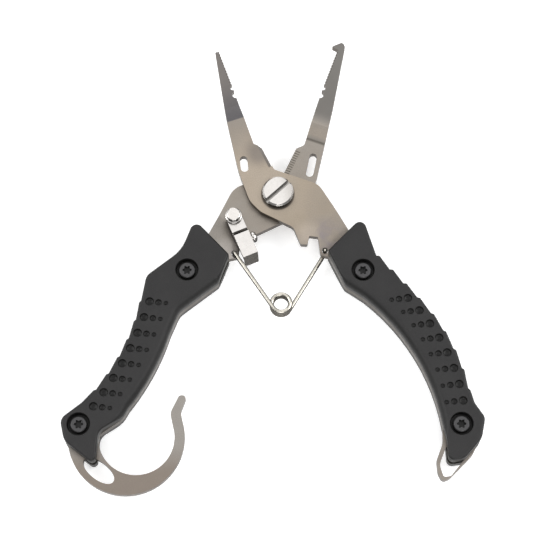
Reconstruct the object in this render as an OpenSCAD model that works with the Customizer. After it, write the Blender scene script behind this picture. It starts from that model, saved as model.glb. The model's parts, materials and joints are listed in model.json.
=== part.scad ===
// Spring-loaded split-ring fishing pliers with a finger hook, lying on their back.
// Two folded steel plates cross at a slotted pivot screw. Everything is drawn about
// the pivot axis, with Z = 0 halfway through the sandwich, then moved so that the
// origin is at the bottom centre of the box round the open pliers.

/* [Plates] */
// Thickness of each steel plate
plate_t = 3; // [2.5:0.1:3.2]
// Gap between the two plates where they cross
plate_gap = 0.1; // [0.05:0.05:0.2]
// Angle from the centre line to the root of each gripping edge when open
jaw_angle = 21.6; // [21.55:0.05:22]
// The same angle at the tips, which meet first
tip_angle = 21.2; // [21.15:0.05:21.6]
// Number of gripping teeth on each jaw
teeth = 12; // [8:1:14]

/* [Grips] */
// Thickness of each grip scale
grip_t = 4.7; // [4.5:0.1:5.5]
// Width of the grip along its curved middle
grip_w = 12.9; // [12.4:0.1:13]
// Rows of three dimples on each scale
dimple_rows = 8; // [4:1:8]

/* [Pivot] */
// Diameter of the pivot's shoulder
pivot_d = 6; // [5:0.5:7]
// Diameter of the pivot screw's head
pivot_head_d = 11.4; // [10:0.2:12]
// Height of the pivot screw's head
pivot_head_h = 2.6; // [2:0.1:3]

/* [Spring] */
// Diameter of the spring wire
wire_d = 1.6; // [1.2:0.05:1.6]
// Mean radius of the spring's coil
coil_r = 3.4; // [3.2:0.1:3.6]
// Distance from the pivot to each spring hole
spring_hole_r = 27.7; // [27.6:0.1:27.8]

/* [Latch] */
// Width of the latch lever
latch_w = 5.7; // [5.4:0.1:5.8]
// Diameter of the flange under the latch's knob
knob_d = 6.2; // [5.5:0.1:6.3]

/* [Grip screws] */
// Diameter of a grip screw's head
screw_head_d = 6.1; // [5.5:0.1:6.3]
// Diameter of the counterbore round the head
counterbore_d = 8.4; // [8:0.1:9]

/* [Hidden] */
$fn = 48;

steel = "#a39a90";
bright = "#d9d8d4";
plastic = "#2b2b2b";
black = "#1c1c1c";

// levels through the sandwich
half_t = plate_t / 2;
low = plate_gap / 2;              // facing side of each plate where they cross
high = low + plate_t;             // outer side of each plate there
face = half_t + grip_t;           // outer face of the grips
reach = 200;                      // larger than the pliers in any direction

// centre of the left grip's long arc, which bows inwards, and its outer radius
left_c = [-122.9, -27.5];
left_r = 75;
// centre of the right grip's long arc, which bows outwards, and its outer radius
right_c = [-3.8, -89.8];
right_r = 73;
left_step = 0.55;                 // height of the finger steps on the left outer edge
right_step = 0.65;                // and on the right one
tang_inset = 1.2;                 // the plates' edges lie this far inside the grips there

// grip screws
left_upper = [-32.9, -30.3];
left_lower = [-70.5, -87.3];
right_upper = [30.7, -30.4];
right_lower = [64.8, -87.1];

// spring: the coil hangs on the line halfway between its two holes
left_hole_a = 35.3;               // angle of the left hole from straight down
right_hole_a = 38.2;              // angle of the right hole from straight down
coil_drop = 41.7;                 // from the pivot to the coil's axis
left_hole = spring_hole_r * [-sin(left_hole_a), -cos(left_hole_a)];
right_hole = spring_hole_r * [sin(right_hole_a), -cos(right_hole_a)];
mid_a = (right_hole_a - left_hole_a) / 2;
coil_c = coil_drop * [sin(mid_a), -cos(mid_a)];
leg_z = 2.5;                      // the legs lie this far in front of and behind Z = 0
bend_r = 1.2;                     // where each leg turns into its hole
leg_span = norm(coil_c - left_hole);
leg_tilt = asin(coil_r / leg_span);
leg_len = leg_span * cos(leg_tilt);
leg_d = wire_d - 0.05;            // drawn thinner as it is bent
spring_hole_d = wire_d + 0.6;

// latch lever, in its own frame: X runs along it from the knob, Y towards the tooth
knob_c = [-16.2, -9.4];
latch_a = -67.4;                  // direction of the lever at rest
latch_top = 6;
arm_top = 4.2;
arm_low = 1.2;
block_x = 7.4;                    // where the arm meets the higher block
groove_w = 1.7;                   // the groove that the arm dips into there
groove_z = 3.4;
pocket_x = [10.8, 16.9];          // the tooth goes in between these
pocket_top = 3.4;
lip_x = 18.4;
lip_low = 0.5;
rivet_d = 3;
knob_top = 7;
stud_x = 10.4;
stud_z = 4.9;
stud_r = 2.1;

// finger hook: an outer and an inner circle that share no centre
hook_c = [-53.8, -91.1];
hook_r = 20.7;
finger_c = [-50.2, -91.2];
finger_r = 13.5;

// ---- outline helpers -------------------------------------------------------

function unit(v) = v / norm(v);
function xy(p) = [p[0], p[1]];
function polar(r, a) = r * [sin(a), cos(a)];           // angle a from +Y, towards +X
function spot(c, r, a) = c + r * [cos(a), sin(a)];
function bow(c, r, a, b, n) = [for (i = [0:n]) spot(c, r, a + (b - a) * i / n)];
function turn(a) = a > 180 ? a - 360 : a < -180 ? a + 360 : a;

// One corner q of an outline, between p and n, rounded to its own radius q[2].
function corner(p, q, n) =
    len(q) < 3 || q[2] == 0 ? [xy(q)] :
    let (
        u = unit(xy(p) - xy(q)),
        v = unit(xy(n) - xy(q)),
        half = acos(u * v) / 2,
        c = xy(q) + unit(u + v) * q[2] / sin(half),
        s = xy(q) + u * q[2] / tan(half) - c,
        e = xy(q) + v * q[2] / tan(half) - c,
        a = atan2(s[1], s[0]),
        sweep = turn(atan2(e[1], e[0]) - a),
        n_arc = max(2, ceil(abs(sweep) / 9))
    ) [for (i = [0:n_arc]) spot(c, q[2], a + sweep * i / n_arc)];

function rounded(pts) =
    let (n = len(pts))
    [for (i = [0:n - 1]) each corner(pts[(i + n - 1) % n], pts[i], pts[(i + 1) % n])];

// ---- outlines --------------------------------------------------------------

// Gripping edge of a jaw from the inside out, with side -1 for the left jaw.
tooth_from = 46.9;
jaw_end = 60.9;
tooth_depth = 0.8;
function along_jaw(side, share) =
    polar(tooth_from, side * jaw_angle) * (1 - share)
        + polar(jaw_end, side * tip_angle) * share;
function jaw_edge(side) = [
    polar(41, side * (jaw_angle + 0.5)),
    for (i = [0:teeth - 1]) each [
        along_jaw(side, i / teeth),
        along_jaw(side, (i + 0.7) / teeth) + [side * tooth_depth, 0]
    ],
    along_jaw(side, 1)
];
function backwards(v) = [for (i = [len(v) - 1:-1:0]) v[i]];

// Inner side of the left grip and of its plate, from the finger hook upwards.
left_inner = concat(
    [[-55.1, -84.5, 7]],
    bow(left_c, left_r + grip_w, -37.5, -17, 10),
    [[-35.6, -45.4, 6], [-21.6, -34.6, 1.2]]
);

// Inner side of the right grip and of its plate, from the corner by the spring down.
right_inner = concat(
    [[24.3, -35.6, 3]],
    bow([-17.6, -99.8], 77, 51, 9, 12)
);

back_outline = rounded(concat(
    backwards(jaw_edge(1)),
    // cutter, then behind the pivot to the left shoulder
    [[9.7, 19.9, 1], [6.8, 18.6, 0.4], [2, 8.5, 1.5], [-16.2, 3.4, 8]],
    // outer side of the tang, inside the grip
    [[-26, -16.4, 0.8], [-30.9, -15.9, 1.5], [-34, -23.4, 8], [-46.6, -33.4, 3]],
    bow(left_c, left_r + tang_inset, -11, -40, 10),
    [[-69, -80.6, 6], [-75.8, -85.9, 2.5]],
    // finger hook
    bow(hook_c, hook_r, 180, 370, 38),
    [[-34.7, -82, 3], [-32.4, -75.8, 1.2], [-35.3, -75.8, 1.2], [-38.4, -82.3, 4]],
    bow(finger_c, finger_r, 18, -176, 38),
    [[-63.4, -90.4, 0.6]],
    left_inner,
    // spring lug, latch relief and the lower edge
    [[-19.7, -25.4, 0.5], [-14.3, -24.2, 1.2], [-13.9, -17.8, 2.5], [12, -5.1, 8]],
    // outer side of the jaw and the split-ring hook at its tip
    [[14.1, 6, 4], [20.5, 34.1, 60], [25.3, 59, 1.5], [24.3, 60.7, 1]],
    [[20.2, 58.9, 0.2], [22.9, 57.5, 0.2]]
));

front_outline = rounded(concat(
    jaw_edge(-1),
    [[-23.6, 56.6, 0.3]],
    // outer side of the jaw, heel and lower edge
    [[-19, 28.5, 60], [-14.6, 8.6, 40], [-10.4, -3, 8], [-6.4, -7.2, 8], [5.6, -13.2, 3]],
    // tooth and notch that the latch holds
    [[8.2, -19.7, 0.7], [10.7, -19.8, 0.6], [11.3, -16.5, 0.5], [14.6, -16.8, 0.5]],
    // spring lug
    [[15.5, -23.4, 1.2], [18.7, -24.1, 1]],
    right_inner,
    // lanyard loop
    [[58.4, -93, 6], [56, -99.4, 4], [56.3, -104, 5], [57.8, -106.9, 1.4]],
    [[60.3, -106.1, 3], [69, -97.2, 10], [71.3, -91.6, 3], [72, -85.4, 2.5]],
    // outer side of the tang, inside the grip, and the right shoulder
    [[68.4, -80, 4]],
    bow(right_c, right_r - tang_inset, 10, 41, 12),
    [[34.9, -26.1, 3], [31, -14.6, 2], [26.5, -14.9, 0.8], [14.9, 3.5, 7]],
    // over the pivot to the cutter
    [[-1.4, 9.2, 1.2], [-5.9, 18.2, 0.4], [-9, 19.3, 0.5]]
));

// The finger steps: at each one the edge jumps out and then runs back in.
left_steps = [
    for (i = [0:5]) each [
        [each spot(left_c, left_r, -11 - 5.6 * i), 0.3],
        [each spot(left_c, left_r - left_step, -11.6 - 5.6 * i), 0.4]
    ]
];
right_steps = [
    for (i = [0:2]) each [
        [35.6 + 4.8 * i, -24.8 - 5.23 * i, 0.3],
        [36.8 + 4.8 * i, -24.9 - 5.23 * i, 0.4]
    ],
    for (i = [0:5]) each [
        [each spot(right_c, right_r, 42.4 - 6 * i), 0.3],
        [each spot(right_c, right_r + right_step, 41.7 - 6 * i), 0.5]
    ]
];

left_grip_outline = rounded(concat(
    [[-30.5, -10.9, 2.4], [-35, -22.7, 14], [-47.6, -32.4, 4.5]],
    left_steps,
    [[-69.6, -79.4, 7], [-77.2, -85.3, 3.5], [-75.5, -93.2, 6], [-64.3, -102, 1.6]],
    [[-63.5, -89.8, 4.4]],
    left_inner,
    [[-17.7, -24.4, 1]]
));

right_grip_outline = rounded(concat(
    [[60, -100.4, 2], [59.6, -92.6, 30]],
    backwards(right_inner),
    [[18.1, -22.9, 1], [30.8, -9.8, 2.4]],
    right_steps,
    [[69.7, -79.6, 5], [73.3, -84.8, 3], [71.9, -92.2, 6], [65.6, -99.6, 4]]
));

// The origin: bottom centre of the box round everything.
all_x = [for (p = concat(left_grip_outline, right_grip_outline)) p[0]];
all_y = [for (p = concat(back_outline, front_outline)) p[1]];
box_c = [(min(all_x) + max(all_x)) / 2, (min(all_y) + max(all_y)) / 2];
module place() translate([-box_c[0], -box_c[1], face]) children();

// ---- shared solids ---------------------------------------------------------

// A prism across the whole part, from a profile whose X points along dir.
module across(dir, profile) {
    rotate(dir) rotate([90, 0, 0]) linear_extrude(2 * reach, center = true) polygon(profile);
}

// A back plate that is folded up from its crossing level to the middle level at two
// places. Each fold is [dir, from, to]: the way it faces, and where it starts and ends.
module folded(outline, folds) {
    difference() {
        translate([0, 0, -high]) linear_extrude(high + half_t) polygon(outline);
        for (f = folds) across(f[0], [
            [f[1] - (f[2] - f[1]) / (high - half_t), -high - 1], [f[2], -half_t],
            [reach, -half_t], [reach, -high - 1]
        ]);
        intersection_for (f = folds) across(f[0], [
            [-reach, -low], [f[1], -low], [f[2], half_t], [f[2], half_t + 1],
            [-reach, half_t + 1]
        ]);
    }
}

module slab(points) translate([0, 0, -reach / 2]) linear_extrude(reach) polygon(points);
module bore(p, d) translate([p[0], p[1], -reach / 2]) cylinder(d = d, h = reach);

// A slot with round ends, from p to q.
module slot(p, q, w) {
    a = atan2(q[1] - p[1], q[0] - p[0]);
    slab(concat(bow(q, w / 2, a - 90, a + 90, 12), bow(p, w / 2, a + 90, a + 270, 12)));
}

// The two crimping notches in a jaw's edge.
module crimp_notches(side) {
    bore(polar(45.65, side * jaw_angle), 2.3);
    bore(polar(42.6, side * jaw_angle), 2.9);
}

// ---- plates ----------------------------------------------------------------

groove_count = 11;                // grooves across the back plate's cutting edge
groove_side = 0.2;
groove_len = 4;                   // half of this lies on the plate

// The material taken off the outer face along a cutting edge, which leaves it sharp.
// The plate lies to the left of the way from p to q.
module cutter_bevel(p, q, side) {
    run = q - p;
    translate([p[0], p[1], 0]) rotate(atan2(run[1], run[0]))
        rotate([90, 0, 90]) linear_extrude(norm(run))
            polygon([
                [1.9, high + 0.5], [1.7, high + 0.5], [-0.25, low + 0.3],
                [-3, low + 0.3], [-3, high + 0.5]
            ] * [[1, 0], [0, side]]);
}

// Fine V-shaped grooves across a cutting edge from p to q, on the face at that height.
module edge_grooves(p, q, z) {
    run = q - p;
    translate([p[0], p[1], z]) rotate(atan2(run[1], run[0]))
        for (i = [1:groove_count]) translate([norm(run) * i / (groove_count + 1), 0, 0])
            rotate([0, 45, 0]) cube([groove_side, groove_len, groove_side], center = true);
}

module back_plate() {
    place() color(steel) difference() {
        folded(back_outline, [[70.5, 24.8, 31], [229.5, 20, 29]]);
        bore([0, 0], pivot_d);
        slot([13, 15.2], [11.7, 8.9], 2.8);
        crimp_notches(1);
        bore(left_hole, spring_hole_d);
        bore(knob_c, rivet_d);
        bore(left_upper, sleeve_d);
        bore(left_lower, sleeve_d);
        slab(lanyard_oval);
        cutter_bevel([7.6, 20.3], [2.8, 10.2], -1);
        edge_grooves([6.8, 18.6], [2, 8.5], -low);
    }
}

// An oval lanyard hole in the thick part of the finger hook.
lanyard_oval = [
    for (a = [0:9:351])
        [-63.3, -103.1] + [6.6 * cos(a), 3.1 * sin(a)]
            * [[cos(38), -sin(38)], [sin(38), cos(38)]]
];

module front_plate() {
    place() color(steel) difference() {
        mirror([0, 0, 1]) folded(front_outline, [[108.7, 32.1, 38.3], [-45.4, 20, 28.4]]);
        bore([0, 0], pivot_d + 0.1);
        slot([-12.7, 13], [-12.3, 9.7], 2.8);
        crimp_notches(-1);
        bore(right_hole, spring_hole_d);
        bore(right_upper, sleeve_d);
        bore(right_lower, sleeve_d);
        slab(rounded([
            [59.6, -94.2, 1.2], [57, -101, 4], [58.4, -105.4, 1],
            [61, -105, 1.5], [67, -97.6, 1.2], [65.5, -94.5, 1]
        ]));
        cutter_bevel([-2.1, 10.6], [-6.9, 20.2], 1);
    }
}

// ---- pivot -----------------------------------------------------------------

slot_w = 1.5;                     // driver slot in the head
slot_h = 1.9;
nut_h = 2;
washer_h = 0.5;
nut_z = -high - washer_h - nut_h;

module pivot_screw() {
    place() color(bright) difference() {
        union() {
            translate([0, 0, high + 0.02]) cylinder(d = pivot_head_d, h = pivot_head_h - 0.7);
            translate([0, 0, high + pivot_head_h - 0.7])
                cylinder(d1 = pivot_head_d, d2 = pivot_head_d - 1.2, h = 0.7);
            translate([0, 0, -high]) cylinder(d = pivot_d, h = 2 * high + 1);
            translate([0, 0, nut_z + 0.3]) cylinder(d = 4, h = high);
        }
        rotate(42.5) translate([-10, -slot_w / 2, high + pivot_head_h - slot_h])
            cube([20, slot_w, slot_h + 1]);
    }
}

module pivot_nut() {
    place() color(bright) difference() {
        translate([0, 0, nut_z]) cylinder(d = 10, h = nut_h);
        translate([0, 0, nut_z - 1]) cylinder(d = 4, h = nut_h + 2);
        for (a = [0, 180]) rotate(a) translate([3.4, 0, nut_z - 1]) cylinder(d = 1.4, h = 2.2);
    }
}

module pivot_washer() {
    place() color(bright) difference() {
        translate([0, 0, nut_z + nut_h]) cylinder(d = 11, h = washer_h);
        translate([0, 0, nut_z + nut_h - 1]) cylinder(d = 4.2, h = 3);
    }
}

// ---- spring ----------------------------------------------------------------

// One leg of the torsion spring with its hook, in a frame at the hole: the leg runs
// along +X at the height z, side is 1 for a hook that goes down and -1 for up.
module leg(z, side, through) {
    translate([bend_r, 0, z]) rotate([0, 90, 0]) cylinder(d = leg_d, h = leg_len - bend_r);
    translate([bend_r, 0, z - side * bend_r]) rotate([90, 0, 0])
        rotate(side > 0 ? 90 : 180)
            rotate_extrude(angle = 90) translate([bend_r, 0]) circle(d = leg_d, $fn = 32);
    translate([0, 0, side > 0 ? z - bend_r - through : z + bend_r])
        cylinder(d = leg_d, h = through);
}

module coil(levels) {
    for (z = levels) translate([coil_c[0], coil_c[1], z])
        rotate_extrude() translate([coil_r, 0]) circle(d = wire_d, $fn = 32);
}

module spring_left_leg() {
    run = coil_c - left_hole;
    place() color(bright) {
        translate(left_hole) rotate(atan2(run[1], run[0]) - leg_tilt) leg(leg_z, 1, 3.6);
        coil([leg_z, leg_z - 1.1]);
    }
}

module spring_right_leg() {
    run = coil_c - right_hole;
    place() color(bright) {
        translate(right_hole) rotate(atan2(run[1], run[0]) + leg_tilt) leg(-leg_z, -1, 3.6);
        coil([-leg_z, 1.1 - leg_z, 2 - leg_z]);
    }
}

// ---- latch -----------------------------------------------------------------

module at_latch() place() translate(knob_c) rotate(latch_a) children();

module latch_lever() {
    w = latch_w / 2;
    at_latch() color(bright) difference() {
        intersection() {
            translate([0, w, 0]) rotate([90, 0, 0]) linear_extrude(latch_w)
                polygon([
                    [-w, arm_low], [pocket_x[0], arm_low], [pocket_x[0], pocket_top],
                    [pocket_x[1], pocket_top], [pocket_x[1], lip_low], [lip_x, lip_low],
                    [lip_x - 2, latch_top], [block_x, latch_top],
                    [block_x, groove_z], [block_x - groove_w / 2, groove_z],
                    [block_x - groove_w, arm_top], [-w, arm_top]
                ]);
            union() {
                bore([0, 0], latch_w);
                slab([
                    [0, -w], [lip_x - 0.5, -w], [lip_x, 0.5 - w], [lip_x, w - 0.5],
                    [pocket_x[1] - 0.6, w], [0, w]
                ]);
            }
        }
        bore([0, 0], rivet_d + 0.1);
        translate([stud_x, 0.4, stud_z]) rotate([-90, 0, 0]) cylinder(d = 1.8, h = 5);
    }
}

module latch_stud() {
    at_latch() color(bright) translate([stud_x, 0.4, stud_z]) rotate([-90, 0, 0])
        rotate_extrude() polygon([
            [0, 0], [0.9, 0], [0.9, 2.75], [stud_r - 0.1, 2.75], [stud_r, 2.85],
            [stud_r, 3.4], [stud_r - 0.35, 4], [0.8, 4.4], [0, 4.45]
        ]);
}

module latch_rivet() {
    flange = knob_d / 2;
    knob = flange - 0.6;
    place() translate(knob_c) color(bright) rotate_extrude() polygon([
        [0, -high - 1], [2, -high - 1], [2.5, -high - 0.5], [2.5, -high],
        [rivet_d / 2, -high], [rivet_d / 2, arm_top + 0.1], [flange, arm_top + 0.1],
        [flange, arm_top + 0.8], [flange - 0.2, arm_top + 1], [knob, arm_top + 1],
        [knob, knob_top - 0.25], [knob - 0.25, knob_top], [0, knob_top]
    ]);
}

module latch_washer() {
    place() translate(knob_c) color(bright) difference() {
        translate([0, 0, -low]) cylinder(d = 4.6, h = arm_low + low - 0.08);
        bore([0, 0], rivet_d);
    }
}

// ---- grips -----------------------------------------------------------------

sleeve_d = 4.5;
head_low = half_t + 2.1;          // the screw heads bear on the counterbore here
dimple_d = [3.1, 2.35, 1.7];      // large, middle and small
dimple_x = [0, 3.2, 5.9];         // their places along a row

// A round pit of that diameter, with a steep wall and a bowl for its floor.
module dimple(d) {
    wall = 0.3 * d;
    bowl = 0.1 * d;
    foot = d / 2 - 0.3;
    translate([0, 0, face]) rotate_extrude() polygon([
        [0, -wall - bowl], [foot / 2, -wall - 0.75 * bowl], [foot, -wall],
        [d / 2, 0], [d / 2, 1], [0, 1]
    ]);
}

module dimple_grid(centre, r, start, pitch, side) {
    for (i = [0:dimple_rows - 1], k = [0:2]) {
        p = spot(centre, r, start + pitch * i) + dimple_x[k] * [side * 0.994, -0.11];
        translate(p) dimple(dimple_d[k]);
    }
}

module grip_scale(outline, screws) {
    difference() {
        translate([0, 0, half_t]) linear_extrude(grip_t) polygon(outline);
        for (p = screws) {
            bore(p, sleeve_d);
            translate([p[0], p[1], head_low]) cylinder(d = counterbore_d, h = reach);
        }
        children();
    }
}

module left_scale() {
    grip_scale(left_grip_outline, [left_upper, left_lower])
        dimple_grid([-166, -6.8], 125, -16.5, -2.84, 1);
}

module right_scale() {
    grip_scale(right_grip_outline, [right_upper, right_lower])
        dimple_grid(right_c, right_r - 2.8, 44, -5, -1);
}

module left_front_grip() place() color(plastic) left_scale();
module left_back_grip() place() color(plastic) mirror([0, 0, 1]) left_scale();
module right_front_grip() place() color(plastic) right_scale();
module right_back_grip() place() color(plastic) mirror([0, 0, 1]) right_scale();

// ---- grip screws and their sleeve nuts -------------------------------------

// A six-lobed driver socket.
module lobed_socket(r) {
    polygon([for (a = [0:10:350]) (r + 0.22 * r * cos(6 * a)) * [cos(a), sin(a)]]);
}

module fastener_head() {
    difference() {
        union() {
            translate([0, 0, head_low]) cylinder(d = screw_head_d, h = 1.6);
            translate([0, 0, head_low + 1.6])
                cylinder(d1 = screw_head_d, d2 = screw_head_d - 0.9, h = 0.45);
        }
        translate([0, 0, head_low + 0.8]) linear_extrude(3) lobed_socket(1.4);
    }
}

module grip_screw(p) {
    place() translate(p) color(black) {
        fastener_head();
        translate([0, 0, -2.5]) cylinder(d = 2.9, h = head_low + 2.5);
    }
}

module sleeve_nut(p) {
    place() translate(p) color(black) mirror([0, 0, 1]) difference() {
        union() {
            fastener_head();
            translate([0, 0, -1.5]) cylinder(d = sleeve_d - 0.1, h = head_low + 1.5);
        }
        translate([0, 0, -2]) cylinder(d = 3, h = 4.8);
    }
}

back_plate();
front_plate();
pivot_screw();
pivot_nut();
pivot_washer();
spring_left_leg();
spring_right_leg();
latch_lever();
latch_stud();
latch_rivet();
latch_washer();
left_front_grip();
left_back_grip();
right_front_grip();
right_back_grip();
grip_screw(left_upper);  // left_upper_screw
grip_screw(left_lower);  // left_lower_screw
grip_screw(right_upper);  // right_upper_screw
grip_screw(right_lower);  // right_lower_screw
sleeve_nut(left_upper);  // left_upper_sleeve_nut
sleeve_nut(left_lower);  // left_lower_sleeve_nut
sleeve_nut(right_upper);  // right_upper_sleeve_nut
sleeve_nut(right_lower);  // right_lower_sleeve_nut
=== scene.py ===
"""Looks for a pair of open, spring-loaded fishing pliers lying on a white surface.

The steel plates, screws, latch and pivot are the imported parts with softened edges. The
four grip scales and the spring are modelled here again in finer detail.
Lengths are in millimetres from the pivot's axis, at the middle of the sandwich, until
they are placed in the frame, which is in metres.
"""
import json
import math

import bpy
import numpy as np
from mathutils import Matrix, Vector
from mathutils.geometry import delaunay_2d_cdt

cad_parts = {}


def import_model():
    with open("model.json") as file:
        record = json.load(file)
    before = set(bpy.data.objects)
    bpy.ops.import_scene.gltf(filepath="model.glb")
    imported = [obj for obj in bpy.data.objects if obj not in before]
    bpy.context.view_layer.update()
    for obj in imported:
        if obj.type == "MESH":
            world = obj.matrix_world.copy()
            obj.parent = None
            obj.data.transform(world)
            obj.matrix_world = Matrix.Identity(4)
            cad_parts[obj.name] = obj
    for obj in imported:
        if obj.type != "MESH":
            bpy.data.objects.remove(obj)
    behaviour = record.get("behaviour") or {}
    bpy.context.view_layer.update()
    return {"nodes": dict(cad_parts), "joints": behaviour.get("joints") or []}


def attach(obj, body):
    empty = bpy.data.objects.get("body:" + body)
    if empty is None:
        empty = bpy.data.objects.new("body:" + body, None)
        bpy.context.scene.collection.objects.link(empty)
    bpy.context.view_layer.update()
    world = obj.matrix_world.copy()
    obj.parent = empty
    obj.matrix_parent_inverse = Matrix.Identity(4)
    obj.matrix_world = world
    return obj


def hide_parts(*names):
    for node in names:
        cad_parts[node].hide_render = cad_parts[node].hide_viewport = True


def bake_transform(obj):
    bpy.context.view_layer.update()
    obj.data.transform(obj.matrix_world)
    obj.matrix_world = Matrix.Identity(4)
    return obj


MM = 0.001
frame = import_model()
nodes = frame["nodes"]
joints = {j["name"]: j for j in frame["joints"]}
PIVOT = Vector(joints["plier_hinge"]["pos_m"])


# ---- the sizes that the detailed pieces share with the solids ---------------

PLATE_HALF = 1.5                  # underside of the grips, and half of a plate
FACE = 6.2                        # outer face of the grips
LEFT_C, LEFT_R = (-122.9, -27.5), 75
RIGHT_C, RIGHT_R = (-3.8, -89.8), 73
GRIP_W = 12.9
LEFT_STEP, RIGHT_STEP = 0.55, 0.65   # height of the finger steps
LEFT_PITCH, RIGHT_PITCH = 5.6, 6     # degrees of the bow from step to step
COUNTERBORE_R, COUNTERBORE_Z = 4.2, 3.6
DIMPLES = ((0, 3.1), (3.2, 2.35), (5.9, 1.7))   # place along the row, diameter
DIMPLE_ROWS = 8
DIMPLE_WAY = (0.994, -0.11)                      # a row's direction, across and down
DIMPLE_WALL, DIMPLE_BOWL = 0.3, 0.1              # depths, as shares of the diameter
SCREWS = {
    "left": [(-32.9, -30.3), (-70.5, -87.3)],
    "right": [(30.7, -30.4), (64.8, -87.1)],
}


def spot(centre, r, degrees):
    """The point at that angle on the circle."""
    a = math.radians(degrees)
    return (centre[0] + r * math.cos(a), centre[1] + r * math.sin(a))


def bow(centre, r, start, end, n):
    """n + 1 points along the arc."""
    return [spot(centre, r, start + (end - start) * i / n) for i in range(n + 1)]


def corner(before, at, after):
    """The points of one outline corner, rounded to its radius at[2]."""
    q = np.array(at[:2])
    if len(at) < 3:
        return [q]
    u = np.array(before[:2]) - q
    v = np.array(after[:2]) - q
    u, v = u / np.linalg.norm(u), v / np.linalg.norm(v)
    half = math.acos(float(u @ v)) / 2
    centre = q + (u + v) / np.linalg.norm(u + v) * at[2] / math.sin(half)
    s = q + u * at[2] / math.tan(half) - centre
    e = q + v * at[2] / math.tan(half) - centre
    start = math.degrees(math.atan2(s[1], s[0]))
    sweep = (math.degrees(math.atan2(e[1], e[0])) - start + 180) % 360 - 180
    n = max(2, math.ceil(abs(sweep) / 9))
    return [np.array(spot(centre, at[2], start + sweep * i / n)) for i in range(n + 1)]


def rounded(points):
    """The closed outline with its corners rounded."""
    n = len(points)
    out = []
    for i in range(n):
        out += corner(points[i - 1], points[i], points[(i + 1) % n])
    return np.array(out)


LEFT_INNER = (
    [(-55.1, -84.5, 7)]
    + bow(LEFT_C, LEFT_R + GRIP_W, -37.5, -17, 10)
    + [(-35.6, -45.4, 6), (-21.6, -34.6, 1.2)]
)
RIGHT_INNER = [(24.3, -35.6, 3)] + bow((-17.6, -99.8), 77, 51, 9, 12)


def left_outline():
    steps = []
    for i in range(6):
        at = -11 - LEFT_PITCH * i
        steps.append((*spot(LEFT_C, LEFT_R, at), 0.3))
        steps.append((*spot(LEFT_C, LEFT_R - LEFT_STEP, at - 0.6), 0.4))
    return (
        [(-30.5, -10.9, 2.4), (-35, -22.7, 14), (-47.6, -32.4, 4.5)]
        + steps
        + [(-69.6, -79.4, 7), (-77.2, -85.3, 3.5), (-75.5, -93.2, 6), (-64.3, -102, 1.6)]
        + [(-63.5, -89.8, 4.4)]
        + LEFT_INNER
        + [(-17.7, -24.4, 1)]
    )


def right_outline():
    steps = []
    for i in range(3):
        x, y = 4.8 * i, -5.23 * i
        steps.append((35.6 + x, -24.8 + y, 0.3))
        steps.append((36.8 + x, -24.9 + y, 0.4))
    for i in range(6):
        at = 42.4 - RIGHT_PITCH * i
        steps.append((*spot(RIGHT_C, RIGHT_R, at), 0.3))
        steps.append((*spot(RIGHT_C, RIGHT_R + RIGHT_STEP, at - 0.7), 0.5))
    outline = (
        [(60, -100.4, 2), (59.6, -92.6, 30)]
        + RIGHT_INNER[::-1]
        + [(18.1, -22.9, 1), (30.8, -9.8, 2.4)]
        + steps
        + [(69.7, -79.6, 5), (73.3, -84.8, 3), (71.9, -92.2, 6), (65.6, -99.6, 4)]
    )
    return outline[::-1]


# ---- grips -------------------------------------------------------------------

OUTER_ROUND, INNER_ROUND = 0.9, 2.7      # how far each long edge is rounded in
INNER_REACH = 1.5                        # outline this close to the inner line is inner
BLEND = 9                                # outline points from one rounding to the other
DIMPLE_RUN = 0.3                         # how far a dimple's wall leans in
DIMPLE_RINGS = (0.3, 0.55, 0.78, 0.93, 1)   # mesh rings on its floor, as shares of it
DIMPLE_SIDES = 26
RING_ANGLES = (9, 18, 28, 39, 51, 64, 77, 90)   # of the edge's mesh rings
OUTLINE_STEP, FILL_STEP = 0.45, 0.95     # mesh sizes along the edge and on the face
ROW = 0.866                              # height of a row of equal triangles
BORE_SIDES = 48
# The counterbore's wall, from its soft mouth down to its floor: radius, height.
BORE_RINGS = ((4.1, FACE - 0.3), (4.05, COUNTERBORE_Z + 0.2), (3.9, COUNTERBORE_Z))


def resample(points, step):
    """The closed outline with no edge longer than step."""
    out = []
    for a, b in zip(points, np.roll(points, -1, axis=0)):
        n = max(1, math.ceil(np.linalg.norm(b - a) / step))
        out += [a + (b - a) * i / n for i in range(n)]
    return np.array(out)


def nearest(points, line):
    """For each point: how far inside the closed line it is, and the nearest line point."""
    a, b = line, np.roll(line, -1, axis=0)
    d, lengths = b - a, np.sum((b - a) ** 2, axis=1)
    t = np.clip(np.einsum("pij,ij->pi", points[:, None] - a[None], d) / lengths, 0, 1)
    gap = np.linalg.norm(points[:, None] - (a[None] + t[..., None] * d[None]), axis=2)
    index = gap.argmin(axis=1)
    x, y = points[:, :1], points[:, 1:]
    crosses = (a[None, :, 1] > y) != (b[None, :, 1] > y)
    rise = np.where(np.abs(d[:, 1]) < 1e-12, 1e-12, d[:, 1])
    at_x = a[None, :, 0] + (y - a[None, :, 1]) * d[None, :, 0] / rise[None]
    inside = (crosses & (x < at_x)).sum(axis=1) % 2 == 1
    return np.where(inside, 1, -1) * gap[np.arange(len(points)), index], index


def edge_rounding(line, inner_points):
    """How far the edge is rounded at each outline point: widest along the inner side."""
    inner = resample(rounded_open(inner_points), 0.5)
    gap = np.linalg.norm(line[:, None] - inner[None], axis=2).min(axis=1)
    wide = (gap < INNER_REACH).astype(float)
    kernel = np.hanning(2 * BLEND + 1)
    kernel /= kernel.sum()
    padded = np.concatenate([wide[-BLEND:], wide, wide[:BLEND]])
    return OUTER_ROUND + (INNER_ROUND - OUTER_ROUND) * np.convolve(padded, kernel, "valid")


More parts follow.
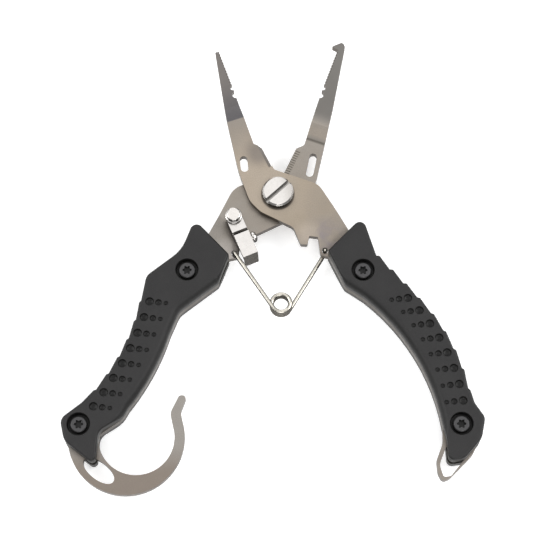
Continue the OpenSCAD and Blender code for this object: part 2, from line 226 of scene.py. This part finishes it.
def rounded_open(points):
    """The same for an open line, whose two ends stay."""
    out = [np.array(points[0][:2])]
    for before, at, after in zip(points, points[1:], points[2:]):
        out += corner(before, at, after)
    return np.array(out + [np.array(points[-1][:2])])


def circle(centre, r, n):
    return np.array([spot(centre, r, 360 * i / n) for i in range(n)])


def grip_face_points(line, rounds, dimples, screws):
    """Points for the face: rings along the edge, rings in each dimple and a fill."""
    inward = np.roll(line, -1, axis=0) - np.roll(line, 1, axis=0)
    inward = np.stack([-inward[:, 1], inward[:, 0]], axis=1)
    inward /= np.linalg.norm(inward, axis=1)[:, None]
    points = []
    for angle in RING_ANGLES:
        depth = rounds * (1 - math.cos(math.radians(angle)))
        ring = line + inward * depth[:, None]
        gap, _ = nearest(ring, line)
        points.append(ring[gap > depth * 0.93])
    for centre, d in dimples:
        foot = 1 - 2 * DIMPLE_RUN / d
        for share in [ring * foot for ring in DIMPLE_RINGS] + [1, 1.12]:
            sides = DIMPLE_SIDES if share > 0.7 else DIMPLE_SIDES // 2
            points.append(circle(centre, share * d / 2, sides))
        points.append(np.array([centre]))
    for centre in screws:
        points.append(circle(centre, COUNTERBORE_R + 0.25, BORE_SIDES))
    lo, hi = line.min(axis=0), line.max(axis=0)
    rows = int((hi[1] - lo[1]) / (FILL_STEP * ROW)) + 1
    columns = int((hi[0] - lo[0]) / FILL_STEP) + 1
    fill = np.array([
        (lo[0] + (c + 0.5 * (r % 2)) * FILL_STEP, lo[1] + r * FILL_STEP * ROW)
        for r in range(rows) for c in range(columns)
    ])
    # The fill keeps a little clear of the rings at the edge, the dimples and the screws.
    gap, index = nearest(fill, line)
    keep = gap > rounds[index] * 1.03
    for centre, d in dimples:
        keep &= np.linalg.norm(fill - centre, axis=1) > d / 2 * 1.16 + 0.25
    for centre in screws:
        keep &= np.linalg.norm(fill - centre, axis=1) > COUNTERBORE_R + 0.6
    points.append(fill[keep])
    return thin(np.concatenate(points), 0.05)


def thin(points, gap):
    """Leaves out each point that shares a cell of that size with an earlier one."""
    cells = {}
    for p in points:
        cells.setdefault((round(p[0] / gap), round(p[1] / gap)), p)
    return np.array(list(cells.values()))


def face_height(points, line, rounds, dimples):
    """The face's height at each point: flat, rounded at the edge, sunk in the dimples."""
    gap, index = nearest(points, line)
    r = rounds[index]
    in_by = np.clip(r - np.maximum(gap, 0), 0, None)
    z = FACE - r + np.sqrt(np.maximum(r * r - in_by * in_by, 0))
    for centre, d in dimples:
        away = np.linalg.norm(points - centre, axis=1)
        wall = np.clip((d / 2 - away) / DIMPLE_RUN, 0, 1)
        bowl = np.clip(1 - (away / (d / 2 - DIMPLE_RUN)) ** 2, 0, 1)
        z -= d * (DIMPLE_WALL * wall + DIMPLE_BOWL * bowl)
    return z


def grip_mesh(name, outline, inner, dimples, screws, side):
    """One moulded scale: a rounded, dimpled face, plain walls and a flat underside."""
    line = resample(rounded(outline), OUTLINE_STEP)
    area = np.sum(line[:, 0] * np.roll(line[:, 1], -1) - np.roll(line[:, 0], -1) * line[:, 1])
    if area < 0:
        line = line[::-1]
    rounds = edge_rounding(line, inner)
    rings = [circle(c, COUNTERBORE_R, BORE_SIDES) for c in screws]
    loops = [line] + rings
    fixed = np.concatenate(loops)
    edges, first = [], 0
    for loop in loops:
        n = len(loop)
        edges += [(first + i, first + (i + 1) % n) for i in range(n)]
        first += n
    extra = grip_face_points(line, rounds, dimples, screws)
    every = [Vector(p) for p in np.concatenate([fixed, extra])]
    flat, _, faces, *_ = delaunay_2d_cdt(every, edges, [], 0, 1e-5)
    flat = np.array([tuple(p) for p in flat])
    centres = np.array([flat[list(f)].mean(axis=0) for f in faces])
    keep = nearest(centres, line)[0] > 0
    for c in screws:
        keep &= np.linalg.norm(centres - c, axis=1) > COUNTERBORE_R * 0.998
    faces = [list(f) for f, k in zip(faces, keep) if k]
    z = face_height(flat, line, rounds, dimples)
    verts = [(p[0], p[1], h) for p, h in zip(flat, z)]

    def index_of(loop):
        gap = np.linalg.norm(flat[None] - loop[:, None], axis=2)
        return list(gap.argmin(axis=1))

    def strip(upper, points, height):
        """A band of faces from the ring upper to a new ring, which it returns."""
        start = len(verts)
        verts.extend((p[0], p[1], height) for p in points)
        n = len(points)
        lower = list(range(start, start + n))
        for i in range(n):
            k = (i + 1) % n
            faces.append([upper[i], lower[i], lower[k], upper[k]])
        return lower

    rim = index_of(line)
    wall = strip(rim, line, PLATE_HALF + 0.2)   # a narrow band below keeps it crisp
    faces.append(strip(wall, line, PLATE_HALF)[::-1])
    for c, ring in zip(screws, rings):
        n = len(ring)
        upper = index_of(ring)[::-1]
        for r, h in BORE_RINGS:
            upper = strip(upper, circle(c, r, n)[::-1], h)
        faces.append(upper[::-1])
    scaled = [(x, y, side * h) for x, y, h in verts]
    if side < 0:
        faces = [f[::-1] for f in faces]
    return new_mesh(name, scaled, faces)


def new_mesh(name, verts_mm, faces):
    """An object from points in millimetres about the pivot."""
    mesh = bpy.data.meshes.new(name)
    mesh.from_pydata([PIVOT + Vector(v) * MM for v in verts_mm], [], faces)
    mesh.validate()
    for polygon in mesh.polygons:
        polygon.use_smooth = True
    mesh.set_sharp_from_angle(angle=math.radians(38))
    obj = bpy.data.objects.new(name, mesh)
    bpy.context.scene.collection.objects.link(obj)
    return obj


def dimple_rows(centre, r, start, pitch, side):
    """Centre and diameter of each dimple, in rows of three that start on an arc."""
    rows = []
    for i in range(DIMPLE_ROWS):
        x, y = spot(centre, r, start + pitch * i)
        for along, d in DIMPLES:
            place = (x + along * side * DIMPLE_WAY[0], y + along * DIMPLE_WAY[1])
            rows.append((place, d))
    return rows


# ---- spring ------------------------------------------------------------------

WIRE_R = 0.76
COIL_R = 3.4             # to the middle of the wire
TURNS, TURN_POINTS = 3, 40
BEND_R = 1.2             # where a leg turns down into its hole
LEG_Z = 2.5              # height of a leg over the middle level, or under it
LEG_END_Z = -2.2         # how far the leg's end goes through, past the middle level
RIGHT_HOLE = spot((0, 0), 27.7, -51.8)   # the left one is a joint's place


def rotate(p, degrees):
    """The point turned about the origin."""
    a = math.radians(degrees)
    return (
        p[0] * math.cos(a) - p[1] * math.sin(a),
        p[0] * math.sin(a) + p[1] * math.cos(a),
    )


def leg_path(hole, coil, side):
    """Points of one leg from its free end to the coil, and the angle where it meets it.

    side is 1 in front and -1 behind."""
    dx, dy = coil[0] - hole[0], coil[1] - hole[1]
    span = math.hypot(dx, dy)
    heading = math.degrees(math.atan2(dy, dx)) - side * math.degrees(math.asin(COIL_R / span))
    path = [(0, LEG_END_Z), (0, LEG_END_Z * 0.4)]
    for a in range(0, 91, 15):
        s = math.radians(a)
        path.append((BEND_R * (1 - math.cos(s)), LEG_Z - BEND_R + BEND_R * math.sin(s)))
    length = math.sqrt(span * span - COIL_R * COIL_R)
    path += [(BEND_R + (length - BEND_R) * i / 12, LEG_Z) for i in range(1, 13)]
    out = []
    for along, z in path:
        x, y = rotate((along, 0), heading)
        out.append((hole[0] + x, hole[1] + y, side * z))
    return out, heading - side * 90


def spring_path():
    """The wire from the left hole round the coil to the right hole."""
    left = [1000 * v for v in (Vector(joints["spring_left_swing"]["pos_m"]) - PIVOT)]
    coil = [1000 * v for v in (Vector(joints["spring_coil"]["pos_m"]) - PIVOT)]
    one, start = leg_path(left, coil, 1)
    two, end = leg_path(RIGHT_HOLE, coil, -1)
    while end < start:
        end += 360
    end += 360 * TURNS
    n = TURN_POINTS * TURNS
    ring = []
    for i in range(1, n):
        x, y = spot(coil, COIL_R, start + (end - start) * i / n)
        ring.append((x, y, LEG_Z - 2 * LEG_Z * i / n))
    return one + ring + two[::-1]


def tube(name, path, radius, sides=20):
    """A closed round wire along a path, with domed ends."""
    p = np.array(path)
    verts, faces = [], []
    tangent = np.gradient(p, axis=0)
    tangent /= np.linalg.norm(tangent, axis=1)[:, None]
    normal = np.cross(tangent[0], (0.3, 0.9, 0.1))
    rings = []
    caps = [(-0.9, 0.35), (-0.55, 0.8)]    # of the dome: place, radius, as shares
    for i in range(len(p)):
        normal = normal - tangent[i] * (normal @ tangent[i])
        normal /= np.linalg.norm(normal)
        side = np.cross(tangent[i], normal)
        shells = [(0, 1)]
        if i == 0:
            shells = caps + shells
        if i == len(p) - 1:
            shells = shells + [(-a, s) for a, s in caps[::-1]]
        for along, share in shells:
            start = len(verts)
            for k in range(sides):
                a = 2 * math.pi * k / sides
                offset = share * radius * (math.cos(a) * normal + math.sin(a) * side)
                verts.append(tuple(p[i] + along * radius * tangent[i] + offset))
            rings.append(list(range(start, start + sides)))
    for a, b in zip(rings, rings[1:]):
        for k in range(sides):
            m = (k + 1) % sides
            faces.append([a[k], a[m], b[m], b[k]])
    faces.append(rings[0][::-1])
    faces.append(rings[-1])
    return new_mesh(name, verts, faces)


# ---- materials ----------------------------------------------------------------
# Colours are linear RGB. Places and distances in a material are in metres, except
# those given to on_plate, along, height and level_from_middle, which are in mm.

def on_plate(x, y, z=0):
    """A place in the frame from millimetres about the pivot."""
    return tuple(PIVOT + Vector((x, y, z)) * MM)


class Nodes:
    """A short way to build a material's nodes."""

    def __init__(self, name, metallic, roughness, colour):
        self.material = bpy.data.materials.new(name)
        self.material.use_nodes = True
        self.tree = self.material.node_tree
        self.shader = self.tree.nodes["Principled BSDF"]
        self.shader.inputs["Metallic"].default_value = metallic
        self.shader.inputs["Roughness"].default_value = roughness
        self.shader.inputs["Base Color"].default_value = (*colour, 1)
        self.coords = self.tree.nodes.new("ShaderNodeTexCoord").outputs["Object"]

    def add(self, kind, **values):
        node = self.tree.nodes.new(kind)
        for key, value in values.items():
            setattr(node, key, value)
        return node

    def link(self, source, target):
        self.tree.links.new(source, target)

    def mapped(self, scale, turn):
        """The object's coordinates scaled by three factors and turned about Z."""
        node = self.add("ShaderNodeMapping")
        node.inputs["Scale"].default_value = scale
        node.inputs["Rotation"].default_value = (0, 0, turn)
        self.link(self.coords, node.inputs["Vector"])
        return node.outputs["Vector"]

    def noise(self, scale, detail=3.0, rough=0.5, vector=None):
        node = self.add("ShaderNodeTexNoise")
        node.inputs["Scale"].default_value = scale
        node.inputs["Detail"].default_value = detail
        node.inputs["Roughness"].default_value = rough
        self.link(vector if vector is not None else self.coords, node.inputs["Vector"])
        return node.outputs["Fac"]

    def spread(self, value, low, high, to_low=0.0, to_high=1.0):
        """A soft step from to_low, where value is low, to to_high, where it is high."""
        node = self.add("ShaderNodeMapRange", interpolation_type="SMOOTHSTEP")
        node.inputs["From Min"].default_value = low
        node.inputs["From Max"].default_value = high
        node.inputs["To Min"].default_value = to_low
        node.inputs["To Max"].default_value = to_high
        self.link(value, node.inputs["Value"])
        return node.outputs["Result"]

    def maths(self, operation, a, b):
        node = self.add("ShaderNodeMath", operation=operation)
        for socket, value in zip(node.inputs, (a, b)):
            if isinstance(value, (int, float)):
                socket.default_value = value
            else:
                self.link(value, socket)
        return node.outputs["Value"]

    def mix(self, factor, a, b):
        node = self.add("ShaderNodeMix", data_type="RGBA")
        self.link(factor, node.inputs["Factor"])
        for socket, value in ((node.inputs[6], a), (node.inputs[7], b)):
            if isinstance(value, tuple):
                socket.default_value = (*value, 1)
            else:
                self.link(value, socket)
        return node.outputs[2]

    def distance(self, point):
        node = self.add("ShaderNodeVectorMath", operation="DISTANCE")
        self.link(self.coords, node.inputs[0])
        node.inputs[1].default_value = point
        return node.outputs["Value"]

    def upward(self, vector):
        part = self.add("ShaderNodeSeparateXYZ")
        self.link(vector, part.inputs[0])
        return part.outputs["Z"]

    def facing(self, low, high):
        """1 where the surface lies flat and 0 where it stands up, with a soft change."""
        up = self.upward(self.tree.nodes["Texture Coordinate"].outputs["Normal"])
        return self.spread(self.maths("ABSOLUTE", up, 0), low, high)

    def height(self, low, high):
        """0 below the height low over the pivot's middle level, 1 above high, in mm."""
        return self.spread(self.upward(self.coords), PIVOT.z + low * MM, PIVOT.z + high * MM)

    def level_from_middle(self, low, high):
        """The same for the distance from the middle level, either way."""
        level = self.maths("SUBTRACT", self.upward(self.coords), PIVOT.z)
        return self.spread(self.maths("ABSOLUTE", level, 0), low * MM, high * MM)

    def along(self, degrees, start):
        """Distance beyond the line that faces that way, start mm from the pivot."""
        node = self.add("ShaderNodeVectorMath", operation="DOT_PRODUCT")
        way = Vector((*spot((0, 0), 1, degrees), 0))
        self.link(self.coords, node.inputs[0])
        node.inputs[1].default_value = way
        return self.maths("SUBTRACT", node.outputs["Value"], way.dot(PIVOT) + start * MM)

    def patch(self, base, place, inner, outer, share, colour):
        """Base with a round patch of colour, painted light or shade: that share of it within
        inner metres of the place, given in mm from the pivot, and none beyond outer."""
        near = self.spread(self.distance(on_plate(*place)), inner, outer, share, 0.0)
        return self.mix(near, base, colour)

    def bump(self, height, strength, distance):
        node = self.add("ShaderNodeBump")
        node.inputs["Strength"].default_value = strength
        node.inputs["Distance"].default_value = distance
        self.link(height, node.inputs["Height"])
        self.link(node.outputs["Normal"], self.shader.inputs["Normal"])

    def colour(self, value):
        self.link(value, self.shader.inputs["Base Color"])

    def roughness(self, value):
        self.link(value, self.shader.inputs["Roughness"])


def steel_surface(m, colour):
    """Fine tumbled grain and smudges on a plate, with painted shade on its upright edges."""
    speck = m.noise(2600, 2, 0.6)
    fine = m.mix(m.spread(speck, 0.3, 0.75, 0.0, 0.22), colour, (0.18, 0.165, 0.15))
    # painted shade: the upright cut edges and steep faces are given a dark colour
    m.colour(m.mix(m.facing(0.35, 0.93), (0.080, 0.066, 0.053), fine))
    smudge = m.noise(240, 4, 0.6)
    m.roughness(m.maths(
        "ADD", m.spread(smudge, 0.3, 0.7, 0.30, 0.40), m.spread(speck, 0.3, 0.7, 0, 0.06)
    ))
    m.bump(m.maths("ADD", speck, m.maths("MULTIPLY", smudge, 0.6)), 0.12, 0.00006)
    return m.material


# Round patches of painted light and shade on the plates: place, where it starts to
# fade, where it ends, its share, its colour.
FRONT_PAINTED_LIGHT = (
    ((-7, 3), 0.004, 0.027, 0.75, (0.440, 0.375, 0.305)),           # painted highlight, left of the pivot
    ((11, -15.5, 3), 0.001, 0.0065, 0.7, (0.455, 0.390, 0.325)),    # painted highlight, over the tooth
    ((-7, 16, 3), 0.0015, 0.0075, 0.65, (0.175, 0.158, 0.148)),     # painted shade, by the cutter
)
# painted shadow: a dark ring on the front plate round the pivot screw's head
SHADOW_UNDER_HEAD = ((-0.1, -0.35, 3.05), 0.0058, 0.0065, 0.8, (0.045, 0.038, 0.032))
# painted light on the back plate's lug by the latch
PAINTED_LIGHT_ON_LUG = ((-18.6, -21.8, 1.5), 0.0015, 0.007, 0.7, (0.50, 0.46, 0.43))


def front_steel():
    """The upper plate: warm heat tint round the pivot, violet by the spring lug, patches of
    painted light and a painted shade on the jaw beyond its crease.
    """
    m = Nodes("front_steel", 1.0, 0.36, (0.31, 0.28, 0.25))
    cloud = m.noise(95, 3, 0.55)
    near = m.spread(m.distance(tuple(PIVOT)), 0.010, 0.040, 1.0, 0.0)
    warm = m.maths("MULTIPLY", near, m.spread(cloud, 0.28, 0.62, 0.6, 1.0))
    base = m.mix(warm, (0.295, 0.265, 0.235), (0.345, 0.290, 0.225))
    for place, inner, outer, share, colour in FRONT_PAINTED_LIGHT:
        base = m.patch(base, place, inner, outer, share, colour)
    by_lug = m.spread(m.distance(on_plate(17.5, -16)), 0.0015, 0.009, 0.5, 0.0)
    violet = m.maths("MULTIPLY", by_lug, m.spread(m.noise(190, 2, 0.5), 0.35, 0.65))
    base = m.mix(violet, base, (0.215, 0.195, 0.25))
    # painted shade on the jaw beyond its crease, lighter towards the tip
    beyond = m.along(108.7, 32.1)
    fade = m.spread(beyond, 0.0, 0.020, 0.9, 0.5)
    shade = m.maths("MULTIPLY", fade, m.spread(beyond, 0.0, 0.0006))
    base = m.mix(shade, base, (0.086, 0.085, 0.096))
    base = m.patch(base, *SHADOW_UNDER_HEAD)
    return steel_surface(m, base)


def back_steel():
    """The lower plate: greyer, with a painted highlight above the crease of its jaw, a painted
    shadow along the crease and painted shade beyond it.
    """
    m = Nodes("back_steel", 1.0, 0.36, (0.31, 0.28, 0.25))
    cloud = m.noise(95, 3, 0.55)
    near = m.spread(m.distance(tuple(PIVOT)), 0.010, 0.045, 1.0, 0.0)
    warm = m.maths("MULTIPLY", near, m.spread(cloud, 0.28, 0.62, 0.3, 1.0))
    base = m.mix(warm, (0.320, 0.298, 0.272), (0.305, 0.272, 0.235))
    beyond = m.along(70.5, 24.8)
    # painted highlight on the rise just beyond the jaw's crease
    rise = m.maths(
        "MULTIPLY", m.spread(beyond, 0.0006, 0.0024), m.spread(beyond, 0.003, 0.010, 0.7, 0.0)
    )
    base = m.mix(rise, base, (0.40, 0.345, 0.29))
    # painted shade on the jaw further out, lighter again towards the tip
    base = m.mix(m.spread(beyond, 0.0055, 0.0115, 0.0, 0.70), base, (0.120, 0.116, 0.110))
    base = m.mix(m.spread(beyond, 0.018, 0.034, 0.0, 0.5), base, (0.215, 0.207, 0.195))
    # painted shade, darker towards the bottom, past 93 mm below the pivot
    base = m.mix(m.spread(m.along(-90, 93), 0.0, 0.012), base, (0.250, 0.212, 0.180))
    base = m.patch(base, *PAINTED_LIGHT_ON_LUG)
    # painted shadow: a dark line along the jaw's crease
    line = m.spread(m.maths("ABSOLUTE", beyond, 0), 0.0001, 0.0008, 0.75, 0.0)
    base = m.mix(line, base, (0.10, 0.09, 0.075))
    return steel_surface(m, base)


def nickel(
    name, colour, rough, rings_at=None, shade_below=None, shade=(0.16, 0.155, 0.14),
    sides=(0.085, 0.080, 0.073),
):
    """Bright nickel plate with painted shade on its sides. Turning marks go round rings_at,
    with painted shade over the far side of the turned face, and what lies lower than
    shade_below gets painted shade, as in a slot or a groove."""
    m = Nodes(name, 1.0, rough, colour)
    smudge = m.noise(420, 3, 0.6)
    m.roughness(m.spread(smudge, 0.3, 0.7, rough * 0.8, rough * 1.3))
    duller = tuple(c * 0.90 for c in colour)
    face = m.mix(m.spread(m.noise(900, 2, 0.6), 0.35, 0.75, 0.0, 0.5), colour, duller)
    if shade_below is not None:
        face = m.mix(m.height(shade_below - 0.25, shade_below + 0.15), shade, face)
    if rings_at is not None:
        # painted shade over the far side of the turned face
        far_side_shade = m.spread(m.along(12, 0), 0.0005, 0.0055, 0.0, 0.55)
        face = m.mix(far_side_shade, face, (0.40, 0.375, 0.35))
    # painted shade on the upright sides
    m.colour(m.mix(m.facing(0.30, 0.90), sides, face))
    if rings_at is None:
        grain = m.noise(1.0, 2, 0.6, m.mapped((5200, 700, 2600), turn=math.radians(-67)))
        m.bump(grain, 0.10, 0.00004)
    else:
        turned = m.maths("SINE", m.maths("MULTIPLY", m.distance(rings_at), 42000), 0)
        wobble = m.maths("ADD", m.maths("MULTIPLY", turned, 0.5), m.noise(1800, 2, 0.6))
        m.bump(wobble, 0.10, 0.00003)
    return m.material


def wire_steel():
    """Drawn spring wire with a faint yellow cast, and painted shade down its sides."""
    m = Nodes("spring_wire", 1.0, 0.24, (0.60, 0.57, 0.50))
    top = m.mix(m.noise(700, 2, 0.5), (0.70, 0.67, 0.60), (0.61, 0.58, 0.51))
    # painted shade down the sides of the wire
    m.colour(m.mix(m.facing(0.50, 0.90), (0.055, 0.049, 0.038), top))
    m.roughness(m.spread(m.noise(1500, 3, 0.6), 0.3, 0.7, 0.24, 0.36))
    m.bump(m.noise(4200, 2, 0.6), 0.08, 0.00003)
    return m.material


def grip_plastic():
    """Charcoal nylon with a fine moulded texture, painted shade in its dimples and on its
    roundings, and lighter and warmer towards the middle level.
    """
    m = Nodes("grip_plastic", 0.0, 0.5, (0.019, 0.019, 0.020))
    grain = m.noise(3400, 4, 0.62)
    broad = m.noise(120, 3, 0.5)
    shade = m.mix(m.spread(broad, 0.3, 0.7), (0.0135, 0.013, 0.0135), (0.0175, 0.017, 0.0172))
    flat = m.mix(m.spread(grain, 0.42, 0.74, 0.0, 0.5), shade, (0.030, 0.029, 0.029))
    # painted shade in the dimples, below the face's level
    flat = m.mix(m.level_from_middle(5.55, 6.1), (0.0055, 0.0053, 0.0052), flat)
    low = m.mix(m.spread(broad, 0.3, 0.7), (0.026, 0.024, 0.020), (0.033, 0.031, 0.025))
    # painted shade on the roundings and other sloping parts
    high = m.mix(m.facing(0.72, 0.985), (0.0060, 0.0058, 0.0056), flat)
    m.colour(m.mix(m.level_from_middle(1.9, 3.9), low, high))
    m.roughness(m.maths(
        "ADD", m.spread(broad, 0.3, 0.7, 0.43, 0.52), m.spread(grain, 0.3, 0.7, 0, 0.08)
    ))
    m.bump(
        m.maths("ADD", grain, m.maths("MULTIPLY", m.noise(1300, 2, 0.5), 0.5)), 0.42, 0.00011
    )
    m.shader.inputs["Specular IOR Level"].default_value = 0.33
    return m.material


def black_oxide():
    """Blackened screw steel with a fine bumped texture and worn, lighter flecks."""
    m = Nodes("black_oxide", 0.55, 0.42, (0.06, 0.06, 0.062))
    fleck = m.spread(m.noise(1900, 3, 0.6), 0.60, 0.80)
    face = m.mix(m.maths("MULTIPLY", fleck, 0.5), (0.060, 0.059, 0.061), (0.13, 0.13, 0.135))
    # painted shade in the sockets of the screw heads
    face = m.mix(m.level_from_middle(4.5, 5.2), (0.012, 0.012, 0.012), face)
    # painted shade on the upright sides
    m.colour(m.mix(m.facing(0.5, 0.95), (0.016, 0.016, 0.016), face))
    m.roughness(m.spread(m.noise(800, 3, 0.6), 0.3, 0.7, 0.34, 0.52))
    m.bump(m.noise(2600, 3, 0.6), 0.25, 0.00006)
    return m.material


# ---- putting it together --------------------------------------------------------


WELD_GAP = 2e-6                    # metres
FLAT_ANGLE, EDGE_ANGLE = 0.6, 32   # degrees: what is merged, and what is rounded


def soften(obj, width, segments=3, flat_shaded=False):
    """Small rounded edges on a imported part, without changing its mesh."""
    weld = obj.modifiers.new("weld", "WELD")
    weld.merge_threshold = WELD_GAP
    flat = obj.modifiers.new("merge_flats", "DECIMATE")
    flat.decimate_type = "DISSOLVE"
    flat.angle_limit = math.radians(FLAT_ANGLE)
    bevel = obj.modifiers.new("bevel", "BEVEL")
    bevel.width = width * MM
    bevel.segments = segments
    bevel.limit_method = "ANGLE"
    bevel.angle_limit = math.radians(EDGE_ANGLE)
    bevel.use_clamp_overlap = True
    for polygon in obj.data.polygons:
        polygon.use_smooth = not flat_shaded
    if not flat_shaded:
        even = obj.modifiers.new("even_normals", "WEIGHTED_NORMAL")
        even.keep_sharp = True


def paint(obj, material):
    """Gives an object that one material."""
    obj.data.materials.clear()
    obj.data.materials.append(material)


plastic = grip_plastic()
oxide = black_oxide()
# painted shade below shade_below, in the latch lever's groove and in the pivot screw's slot,
# where it is lighter; the knob parts get darker painted shade on their sides
bright = nickel("latch_nickel", (0.70, 0.675, 0.65), 0.24, shade_below=3.7)
knob = nickel("knob_nickel", (0.72, 0.69, 0.66), 0.24, sides=(0.030, 0.028, 0.026))
turned = nickel(
    "pivot_nickel", (0.69, 0.665, 0.64), 0.20, tuple(PIVOT), shade_below=5.1,
    shade=(0.36, 0.345, 0.325),
)
wire = wire_steel()

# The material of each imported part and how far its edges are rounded, in mm.
FINISH = {
    "back_plate": (back_steel(), 0.22),
    "front_plate": (front_steel(), 0.22),
    "pivot_screw": (turned, 0.18),
    "pivot_nut": (turned, 0.2),
    "pivot_washer": (turned, 0.1),
    "latch_lever": (bright, 0.25),
    "latch_stud": (knob, 0.1),
    "latch_rivet": (knob, 0.15),
    "latch_washer": (knob, 0.1),
}
for name, (material, width) in FINISH.items():
    paint(nodes[name], material)
    soften(nodes[name], width, flat_shaded=name.endswith("_plate"))
for name, obj in nodes.items():
    if name.endswith(("_screw", "_sleeve_nut")) and name != "pivot_screw":
        paint(obj, oxide)
        soften(obj, 0.12, segments=2)

SCALES = {
    "left": (left_outline(), LEFT_INNER, dimple_rows((-166, -6.8), 125, -16.5, -2.84, 1)),
    "right": (right_outline(), RIGHT_INNER, dimple_rows(RIGHT_C, RIGHT_R - 2.8, 44, -5, -1)),
}
for hand, (outline, inner, dimples) in SCALES.items():
    for where, side in (("front", 1), ("back", -1)):
        name = f"{hand}_{where}_grip"
        scale = grip_mesh(name + "_scale", outline, inner, dimples, SCREWS[hand], side)
        paint(scale, plastic)
        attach(scale, "back_half" if hand == "left" else "front_half")
        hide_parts(name)

spring = tube("spring_wire", spring_path(), WIRE_R)
paint(spring, wire)
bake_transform(spring)
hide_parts("spring_left_leg", "spring_right_leg")


# ---- floor, light and camera ------------------------------------------------------

def floor():
    """White paper on a light table, which softens the shadows from below."""
    mesh = bpy.data.meshes.new("floor")
    half, drop = 3.0, -0.0002    # metres
    mesh.from_pydata(
        [(-half, -half, drop), (half, -half, drop), (half, half, drop), (-half, half, drop)],
        [], [(0, 1, 2, 3)],
    )
    obj = bpy.data.objects.new("floor", mesh)
    bpy.context.scene.collection.objects.link(obj)
    m = Nodes("floor_paper", 0.0, 0.9, (0.93, 0.93, 0.93))
    m.colour(m.mix(m.noise(40, 3, 0.5), (0.925, 0.925, 0.925), (0.94, 0.94, 0.94)))
    m.shader.inputs["Emission Color"].default_value = (1, 1, 1, 1)
    m.shader.inputs["Emission Strength"].default_value = 0.35
    paint(obj, m.material)


def softbox(name, place, size, watts):
    """A square light that faces the pliers."""
    light = bpy.data.lights.new(name, "AREA")
    light.shape = "RECTANGLE"
    light.size, light.size_y = size
    light.energy = watts
    obj = bpy.data.objects.new(name, light)
    obj.location = place
    obj.rotation_euler = (-Vector(place)).to_track_quat("-Z", "Y").to_euler()
    bpy.context.scene.collection.objects.link(obj)


def world(strength):
    """Even white light from all round."""
    w = bpy.data.worlds.new("studio")
    w.use_nodes = True
    background = w.node_tree.nodes["Background"]
    background.inputs["Color"].default_value = (1, 1, 1, 1)
    background.inputs["Strength"].default_value = strength
    bpy.context.scene.world = w


CAMERA_TILT = 17                      # degrees
CAMERA_AWAY = 728
CAMERA_TARGET = (-1.10, -30.51, 0)    # from the pivot
CAMERA_SPREAD = 0.1375                # half of the frame's width over its distance


def camera():
    """Square on above the pliers, tipped towards the finger hook."""
    tilt = math.radians(CAMERA_TILT)
    away = CAMERA_AWAY * MM
    target = PIVOT + Vector(CAMERA_TARGET) * MM
    data = bpy.data.cameras.new("camera")
    data.sensor_width = 36
    data.angle = 2 * math.atan(CAMERA_SPREAD)
    data.clip_start = 0.01
    obj = bpy.data.objects.new("camera", data)
    obj.location = target + Vector((0, -away * math.sin(tilt), away * math.cos(tilt)))
    obj.rotation_euler = (tilt, 0, 0)
    bpy.context.scene.collection.objects.link(obj)
    bpy.context.scene.camera = obj


floor()
world(0.38)
# Each light's place and size in metres, and its power in watts.
softbox("overhead", (0, 0.46, 1.5), (1.3, 1.3), 5.0)
softbox("left", (-0.80, 0.10, 0.60), (0.6, 0.6), 5.4)
softbox("right", (0.80, 0.10, 0.60), (0.6, 0.6), 6.4)
softbox("near", (0.10, -0.85, 0.60), (0.6, 0.6), 4.4)
softbox("far", (-0.10, 0.95, 0.38), (0.6, 0.6), 2.4)
camera()
bpy.context.scene.view_settings.view_transform = "Standard"

bpy.context.view_layer.update()
